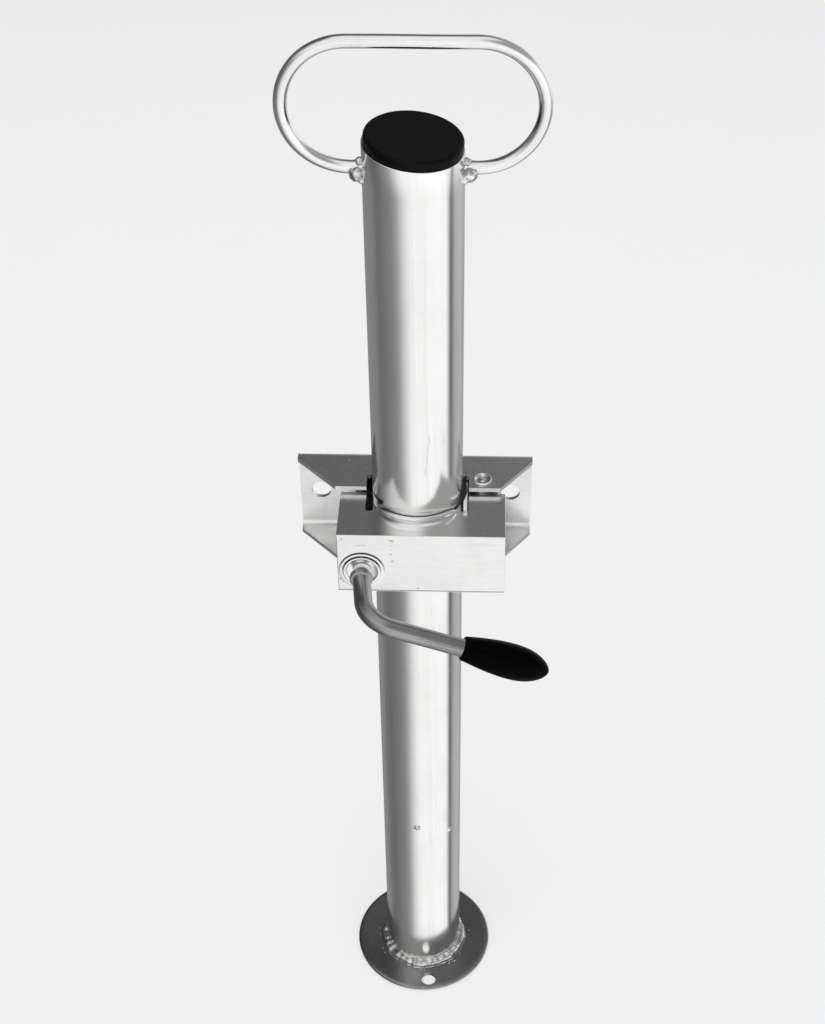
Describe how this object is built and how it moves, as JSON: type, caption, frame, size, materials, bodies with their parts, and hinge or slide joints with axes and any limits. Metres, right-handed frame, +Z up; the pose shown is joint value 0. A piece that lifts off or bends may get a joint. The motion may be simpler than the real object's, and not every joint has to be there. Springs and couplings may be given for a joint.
{
  "type": "trailer prop stand with clamp",
  "caption": "Tube leg with a round foot and carrying bail, sliding in a bolt-on bracket and gripped by a hinged clamp housing that a cranked lever tightens.",
  "frame": {"origin": "on the leg tube's axis at the underside of the foot plate", "axes": "+Z up along the tube, -Y towards the lever's side, +Y towards the trailer that the bracket bolts to"},
  "size_m": [0.171, 0.1591, 0.803],
  "materials": {
    "bright_zinc": "bright zinc plate over drawn tube",
    "zinc_sheet": "bright zinc plate on pressed sheet",
    "zinc_bar": "bright zinc plate on round bar",
    "dark_zinc": "duller zinc plate on the foot plate",
    "weld_bead": "plated weld metal, rippled",
    "fasteners": "plated turned parts",
    "spring_steel": "phosphated spring steel rings",
    "black_plastic": "black moulded plastic, fine grain",
    "grip_plastic": "black moulded plastic, half gloss"
  },
  "bodies": {
    "bracket": {"mounting_bracket": "zinc_sheet", "rear_saddle": "zinc_sheet", "saddle_welds": "weld_bead", "screw_nut": "fasteners", "hinge_pin": "fasteners", "hinge_washer": "fasteners", "hinge_circlip": "spring_steel", "hinge_spacer": "fasteners"},
    "leg": {"leg_tube": "bright_zinc", "foot_plate": "dark_zinc", "foot_weld": "weld_bead", "end_cap": "black_plastic", "carry_handle": "zinc_bar", "handle_weld_left": "weld_bead", "handle_weld_right": "weld_bead", "stop_pips": "weld_bead"},
    "housing": {"clamp_housing": "zinc_sheet", "guide_collar": "zinc_sheet", "lower_guide_collar": "zinc_sheet", "front_jaw": "zinc_sheet", "jaw_ribs": "zinc_sheet", "hinge_web": "zinc_sheet", "hinge_tube": "fasteners", "screw_cup": "zinc_sheet", "screw_washer": "fasteners"},
    "lever": {"clamp_screw": "fasteners", "thrust_sleeve": "fasteners", "screw_circlip": "spring_steel", "lever_shoulder": "fasteners", "lever_bar": "zinc_bar", "lever_grip": "grip_plastic"}
  },
  "joints": [
    {"name": "leg_slide", "type": "slide", "parent": "bracket", "child": "leg", "axis": [0, 0, 1], "range_m": [-0.22, 0.24]},
    {"name": "housing_swing", "type": "hinge", "parent": "bracket", "child": "housing", "pos_m": [0.043, 0.008, 0.458], "axis": [0, 0, 1], "range_deg": [0, 1.7]},
    {"name": "lever_turn", "type": "hinge", "parent": "housing", "child": "lever", "pos_m": [-0.0355, -0.0453, 0.4525], "axis": [0, -1, 0], "range_deg": [0, 540]}
  ],
  "couplings": [
    {"joint": "housing_swing", "follows": "lever_turn", "ratio": 0.003041}
  ]
}
